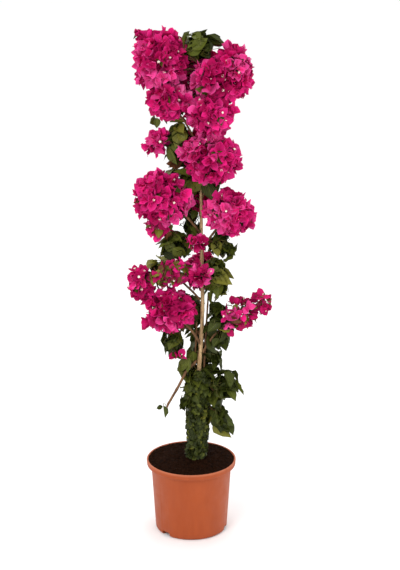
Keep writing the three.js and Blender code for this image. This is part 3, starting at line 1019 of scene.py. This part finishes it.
def grow_bloom(node):
    """Fills one flower mass: a ruffled outer shell of bract groups, a darker one under it as painted shade,
    a few leaves.
    """
    rng = node_rng(node)
    low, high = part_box(node)
    loose, leafy = node in LOOSE_BLOOMS, node in LEAFY_BLOOMS
    small = min((high - low)[:]) < 45 * MM
    size = BRACT_LENGTH * (0.84 if small or loose else 1.0)
    tips = []

    spots, outward = shell(node, (20 if loose else 14.5) * MM, rng)
    tints = sprays(spots, max(3, len(spots) // 9), rng, BRACT_TINTS, LOOSE_MIX if loose else FULL_MIX)
    for spot, out, tint in zip(spots, outward, tints):
        if not exposed(spot, out) and rng.random() < 0.75:
            continue
        axis = unit(out + 0.3 * rng.normal(size=3) + 0.18 * UP)
        seat = spot - out * (0.52 + 0.14 * rng.random()) * size
        if rng.random() < 0.25:
            tint = rng.choice(BRACT_TINTS[: 2 if loose else 3])
        bract_group(seat, axis, tint, size, rng, flowers=int(rng.random() < 0.28))
        tips.append((seat, axis))

    if not small and not loose:
        for spot, out in zip(*shell(node, 21 * MM, rng)):
            seat = spot - out * 1.25 * size
            axis = unit(out + 0.5 * rng.normal(size=3))
            # the inner shell takes only the deep and magenta tints: painted shade under the outer bracts
            bract_group(seat, axis, rng.choice(BRACT_TINTS[:2]), size, rng, flowers=0)
            tips.append((seat, axis))

    greens = ["green", "olive", "olive", "lime", "bronze"] if leafy else ["dark", "green"]
    depth, length = (4 * MM, 27 * MM) if leafy else (9 * MM, 36 * MM)
    for spot, out in zip(*shell(node, LEAFY_BLOOMS.get(node, 46 * MM), rng)):
        tips += add_leaf(spot - out * depth, out, rng.choice(greens), length, rng)
    grow_mass(tips, rng)


# --- leaves

LEAF_LENGTH = 46 * MM
LEAF_SIZES = {
    "foliage_crown": 40 * MM,
    "foliage_upper": 38 * MM,
    "foliage_waist": 40 * MM,
    "foliage_left_spur": 30 * MM,
    "foliage_centre": 38 * MM,
    "foliage_left_fringe": 38 * MM,
    "foliage_twig_tip": 27 * MM,
}
LEAF_TINTS = ["dark", "green", "olive", "lime", "bronze"]
USUAL_LEAVES = [0.5, 0.36, 0.11, 0.01, 0.02]
LEAF_MIXES = {
    "foliage_left_fringe": [0.2, 0.25, 0.35, 0.15, 0.05],
    "foliage_right": [0.15, 0.7, 0.15, 0.0, 0.0],
    "foliage_low": [0.45, 0.35, 0.12, 0.08, 0.0],
    "foliage_centre": [0.75, 0.25, 0.0, 0.0, 0.0],
    "foliage_crown": [0.7, 0.28, 0.0, 0.0, 0.02],
    "foliage_twig_tip": [0.3, 0.5, 0.1, 0.0, 0.1],
}
LEAF_PULLS = {  # where a mass's tips are drawn, apart from outwards and down
    "foliage_foot_right": (0.7, 0, -1.3),
    "foliage_right_low": (0.9, 0, 0.1),
    "foliage_twig_tip": (-1.2, 0, 0),
    "foliage_foot_left": (-0.9, 0, -0.1),
    "foliage_crown": (0.1, 0, 0.9),
    "foliage_left_leaf": (-0.4, 0, -0.6),
    "foliage_left_fringe": (-0.6, 0, 0.3),
}
# Most of the sleeve takes the shaded tint, a darker green that stands for the shade at the foot: painted
# shade.
SLEEVE_MIX = {"shaded": 0.54, "dark": 0.28, "green": 0.13, "lime": 0.05}


def add_leaf(middle, out, tint, length, rng, pull=(0, 0, 0)):
    """One leaf whose blade is centred on a place and looks outwards; returns a list of its foot and its
    direction, which is empty where a limb leaves no room for the leaf.

    The tip lies further out than the foot, so that the shoot to the foot stays inside the mass.
    """
    facing = unit(0.6 * out + 0.45 * UP + 0.34 * rng.normal(size=3))
    fall = 0.9 * out - 0.45 * UP + 0.5 * rng.normal(size=3) + np.array(pull)
    along = square_to(facing, fall)
    if np.dot(along, out + np.array(pull)) < 0:
        along = -along
    size = length * rng.uniform(0.55, 1.12)
    foot = middle - along * 0.5 * size
    placed = put(tint + "_leaves", LEAF_SHAPES, foot, along, facing, size, rng)
    return [(foot, along)] if placed else []


def grow_foliage(node):
    """Fills one mass of leaves: a layer in the mass's own tints over a deeper layer in the shaded tint, a
    painted shade.
    """
    rng = node_rng(node)
    low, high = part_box(node)
    thin, tall = min((high - low)[:]), max((high - low)[:])
    length = min(LEAF_SIZES.get(node, LEAF_LENGTH), 1.05 * tall)
    inset = min(7 * MM, 0.12 * thin)
    weights, pull = LEAF_MIXES.get(node, USUAL_LEAVES), LEAF_PULLS.get(node, (0, 0, 0))
    outer, under = (6 * MM, 0.46 * length), (17 * MM, 24 * MM)  # depth, spacing
    tips = []
    for depth, spacing in ((3 * MM, 21 * MM),) if thin < 24 * MM else (outer, under):
        spots, outward = shell(node, spacing, rng)
        tints = sprays(spots, max(2, len(spots) // 4), rng, LEAF_TINTS, weights)
        for spot, out, tint in zip(spots, outward, tints):
            if not exposed(spot, out) and rng.random() < 0.6:
                continue
            # leaves of the deeper layer take the shaded tint: painted shade
            shade = tint if depth < 10 * MM else "shaded"
            for foot, along in add_leaf(spot - out * depth, out, shade, length, rng, pull):
                lead = unit(out + np.array(pull))
                seat = foot - along * 4 * MM - lead * inset
                stalk = (seat, foot - along * 3 * MM, foot + along * 1 * MM, 0.6 * MM, 0.5 * MM)
                green_shoots.append(stalk)
                tips.append((seat, unit(lead + 0.4 * along)))
    grow_mass(tips, rng)


def grow_sleeve():
    """The close sleeve of small leaves at the foot, laid like shingles round the stems."""
    rng = node_rng(SLEEVE)
    low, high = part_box(SLEEVE)
    collar = 0.3 * low.z + 0.7 * high.z
    tips = []
    for depth, spacing in ((2.5 * MM, 5.6 * MM), (7 * MM, 9 * MM)):
        for spot, out in zip(*shell(SLEEVE, spacing, rng)):
            facing = unit(unit(out * [1, 1, 0]) + 0.35 * UP + 0.42 * rng.normal(size=3))
            along = square_to(facing, -0.5 * UP + 0.9 * rng.normal(size=3))
            size = rng.uniform(9, 15) * MM
            foot = spot - out * depth - along * 0.5 * size
            tint = rng.choice(list(SLEEVE_MIX), p=list(SLEEVE_MIX.values()))
            if put(tint + "_foot_leaves", SMALL_SHAPES, foot, along, facing, size, rng):
                tips.append((foot, along))
            if spot[2] > collar and rng.random() < 0.1:
                tips += add_leaf(spot, out, rng.choice(["shaded", "dark", "green"]), 38 * MM, rng)
    grow_mass(tips, rng, carried=24)


# --- compost crumbs

CRUMB_SEED = 999
CRUMBS = 1500
CRUMB_KINDS = (((1, 1, 0.8), 0.5), ((1.3, 0.8, 0.6), 0.35), ((1.9, 0.8, 0.3), 0.15))  # form, share


def crumb_shapes(rng):
    """Two lumps and a bark chip, modelled once from an icosphere."""
    shapes = []
    for squash, _ in CRUMB_KINDS:
        start_fresh()
        bpy.ops.mesh.primitive_ico_sphere_add(subdivisions=1, radius=0.5)
        piece = begin("crumb")
        bpy.ops.transform.resize(value=squash, center_override=(0, 0, 0))
        bpy.ops.mesh.select_all(action="SELECT")
        bpy.ops.transform.vertex_random(offset=0.12, seed=int(rng.integers(1000)))
        finish_shape()
        shapes.append(take_shape(piece))
    return shapes


def scatter_crumbs(soil):
    rng = np.random.default_rng([SEED, CRUMB_SEED])
    shapes = crumb_shapes(rng)
    shares = [share for _, share in CRUMB_KINDS]
    tree = BVHTree.FromObject(soil, bpy.context.evaluated_depsgraph_get())
    low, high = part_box("soil")
    edge = (high.x - low.x) / 2 - 1 * MM
    crumbs = []
    for _ in range(CRUMBS):
        radius = edge * math.sqrt(rng.random())
        angle = rng.uniform(0, 2 * math.pi)
        x, y = radius * math.cos(angle), radius * math.sin(angle)
        hit = tree.ray_cast(Vector((x, y, high.z + 20 * MM)), Vector((0, 0, -1)))[0]
        size = float(np.clip(rng.lognormal(0.75, 0.42), 1.0, 6.0)) * MM
        spot = np.array([x, y, hit.z + 0.12 * size])
        kind = int(rng.choice(len(shapes), p=shares))
        crumbs.append((kind, spot, turn_of(rng.normal(size=3), rng.normal(size=3), size), 0))
    wear(joined("soil_crumbs", shapes, crumbs, whole_map=True), MATERIALS["crumb"], "soil")


# --- building the plant

STAND_INS = {"magenta_bracts": BLOOMS, "dark_leaves": FOLIAGE, "shaded_foot_leaves": [SLEEVE]}
BLADE_KINDS = {  # kind: (patterns, materials by tint, slot)
    "bracts": (BRACT_SHAPES, BRACTS, "bract"),
    "leaves": (LEAF_SHAPES, LEAVES, "leaf"),
    "foot_leaves": (SMALL_SHAPES, LEAVES, "leaf"),
}

make_pot()
scatter_crumbs(make_soil())

make_limb("stem", sides=14, relief=1.1 * MM, bark="bark")
for limb in LIMBS:
    if limb != "stem":
        make_limb(limb, sides=8, relief=0.7 * MM, bark="dark bark")

for bloom in BLOOMS:
    grow_bloom(bloom)
for mass in FOLIAGE:
    grow_foliage(mass)
grow_sleeve()

for name in sorted(places):
    if name == "cream_flowers":
        wear(joined(name, FLOWER_SHAPES, places[name], whole_map=True), MATERIALS["flower"], "bract")
        continue
    tint, kind = name.split("_", 1)
    patterns, materials, slot = BLADE_KINDS[kind]
    wear(joined(name, patterns, places[name]), materials[tint], slot, *STAND_INS.get(name, []))
wear(tubes("twigs", brown_shoots, sides=5, spans=3), MATERIALS["twig"], "bark")
wear(tubes("green_shoots", green_shoots, sides=4, spans=2), MATERIALS["green shoot"], "leaf")

# --- floor, light and camera

FLOOR_SIZE = 240
STUDIO_AIM = (0, 0, 0.55)
LAMPS = {  # name: (place, size, power)
    "key": ((-1.3, -2.3, 2.5), 1.6, 40),
    "fill": ((2.2, -1.8, 1.5), 1.8, 9),
    "top": ((0.3, 0.9, 3.0), 1.4, 14),
}
CAMERA_PLACE = (0.0186, -2.6, 1.263)
CAMERA_DIP = 15.62  # degrees below level
CAMERA_LENS, CAMERA_FILM = 83.4, 36.0


def make_floor():
    start_fresh()
    bpy.ops.mesh.primitive_plane_add(size=FLOOR_SIZE)
    floor = bpy.context.active_object
    floor.name = "floor"
    material, tree, shader = new_material("pale floor")
    dress(tree, shader, (0.95, 0.95, 0.95, 1), 0.9)
    floor.data.materials.append(material)


def light_studio():
    """A white room with three round lamps."""
    world = bpy.data.worlds.new("white studio")
    bpy.context.scene.world = world
    world.use_nodes = True
    tree = world.node_tree
    tree.nodes.clear()
    room = add_node(tree, "Background", Color=(1, 1, 1, 1), Strength=1.06)
    add_node(tree, "OutputWorld", Surface=room.outputs[0])
    for name, (place, size, power) in LAMPS.items():
        light = bpy.data.lights.new(name, "AREA")
        light.shape = "DISK"
        light.size = size
        light.energy = power
        lamp = add_object(name, light)
        lamp.location = place
        lamp.rotation_euler = (Vector(STUDIO_AIM) - Vector(place)).to_track_quat("-Z", "Y").to_euler()


def add_camera():
    """Looks down a little on the whole column from in front."""
    camera = add_object("camera", bpy.data.cameras.new("camera"))
    camera.data.sensor_width = CAMERA_FILM
    camera.data.lens = CAMERA_LENS
    camera.location = CAMERA_PLACE
    camera.rotation_euler = (math.radians(90 - CAMERA_DIP), 0, 0)
    bpy.context.scene.camera = camera


make_floor()
light_studio()
add_camera()
bpy.context.scene.view_settings.view_transform = "Standard"
